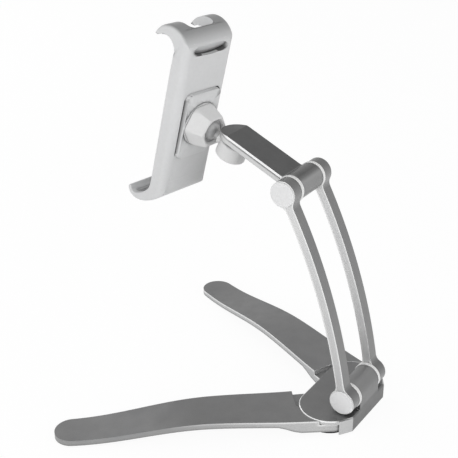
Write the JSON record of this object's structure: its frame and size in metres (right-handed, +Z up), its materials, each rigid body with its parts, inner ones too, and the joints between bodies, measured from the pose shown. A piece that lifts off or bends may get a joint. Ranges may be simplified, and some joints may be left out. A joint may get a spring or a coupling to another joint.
{
  "type": "desktop tablet stand",
  "caption": "Desktop tablet stand: folding legs, two bowed arms, hinged link, swivel and ball joint, and a sprung clip that grips a tablet by two opposite edges.",
  "frame": {"origin": "on the table, under the middle of the lower hinge", "axes": "+X along the hinges to the user's right, -Y towards the user, +Z up"},
  "size_m": [0.2651, 0.2151, 0.2837],
  "materials": {
    "base_metal": "satin dark grey with bright bevelled edges",
    "link_metal": "satin very dark grey with bright sides",
    "arm_metal": "fine satin with bright bevelled edges",
    "steel": "turned and brushed",
    "dark_steel": "blackened",
    "white_plastic": "smooth white",
    "clip_plastic": "smooth pale grey",
    "bush_plastic": "white low-friction plastic",
    "dark_plastic": "dark grey low-friction plastic",
    "rubber_black": "soft black rubber",
    "rubber_grey": "soft pale grey rubber"
  },
  "bodies": {
    "base": {"base_block": "base_metal", "base_pad": "rubber_black", "slip_washers": "bush_plastic", "pivot_washers": "steel", "pivot_screws": "dark_steel", "lower_hinge_bushes": "bush_plastic"},
    "right_leg": {"right_leg": "base_metal", "right_leg_root_pad": "rubber_black", "right_leg_tip_pad": "rubber_black", "right_wave_washer": "steel"},
    "left_leg": {"left_leg": "base_metal", "left_leg_root_pad": "rubber_black", "left_leg_tip_pad": "rubber_black", "left_wave_washer": "steel"},
    "arms": {"right_arm": "arm_metal", "left_arm": "arm_metal", "lower_hinge_shaft": "steel", "upper_hinge_shaft": "steel", "hinge_spring_washers": "steel", "hinge_screws": "dark_steel", "arm_caps": "white_plastic"},
    "link": {"upper_link": "link_metal", "upper_hinge_bushes": "bush_plastic", "swivel_stud": "steel", "friction_washer": "dark_plastic", "swivel_spring_washer": "steel", "swivel_nut": "steel"},
    "drum": {"swivel_drum": "white_plastic", "drum_cap": "white_plastic", "ball_stem": "steel"},
    "liner": {"ball_liner": "dark_plastic"},
    "socket": {"ball_socket": "clip_plastic", "socket_washer": "steel", "socket_screw": "dark_steel"},
    "nut": {"lock_nut": "white_plastic"},
    "clip": {"clip_body": "clip_plastic", "clip_cover": "clip_plastic", "cover_screws": "dark_steel", "front_pad": "rubber_black", "lower_jaw_pad": "rubber_grey", "jaw_springs": "steel"},
    "jaw": {"upper_jaw": "clip_plastic", "hook_pads": "rubber_grey"}
  },
  "joints": [
    {"name": "right_leg_fold", "type": "hinge", "parent": "base", "child": "right_leg", "pos_m": [0.0212, -0.0135, 0.007], "axis": [0, 0, 1], "range_deg": [-39.6, 10.4]},
    {"name": "left_leg_fold", "type": "hinge", "parent": "base", "child": "left_leg", "pos_m": [-0.0212, -0.0135, 0.007], "axis": [0, 0, -1], "range_deg": [-22.3, 27.7]},
    {"name": "lower_hinge", "type": "hinge", "parent": "base", "child": "arms", "pos_m": [0, 0, 0.0234], "axis": [1, 0, 0], "range_deg": [-35, 20]},
    {"name": "upper_hinge", "type": "hinge", "parent": "arms", "child": "link", "pos_m": [0, -0.05495, 0.17856], "axis": [1, 0, 0], "range_deg": [-60, 30]},
    {"name": "swivel", "type": "hinge", "parent": "link", "child": "drum", "pos_m": [0, -0.10917, 0.20281], "axis": [0, 0.4083, 0.9128], "range_deg": [-60, 60]},
    {"name": "ball_tilt", "type": "hinge", "parent": "drum", "child": "liner", "pos_m": [0, -0.13573, 0.20319], "axis": [1, 0, 0], "range_deg": [-30, 9]},
    {"name": "ball_pan", "type": "hinge", "parent": "liner", "child": "socket", "pos_m": [0, -0.13573, 0.20319], "axis": [0.0002, 0.2256, 0.9742], "range_deg": [-9, 30]},
    {"name": "nut_turn", "type": "hinge", "parent": "socket", "child": "nut", "pos_m": [0, -0.13573, 0.20319], "axis": [0.148, 0.9635, -0.2231], "range_deg": [-90, 90]},
    {"name": "clip_spin", "type": "hinge", "parent": "socket", "child": "clip", "pos_m": [0, -0.13573, 0.20319], "axis": [0.148, 0.9635, -0.2231], "range_deg": [-90, 90]},
    {"name": "jaw_slide", "type": "slide", "parent": "clip", "child": "jaw", "axis": [0.0002, 0.2256, 0.9742], "range_m": [0, 0.06], "stiffness_N_per_m": 60, "springref_m": -0.03, "deforming": ["jaw_springs"]}
  ]
}
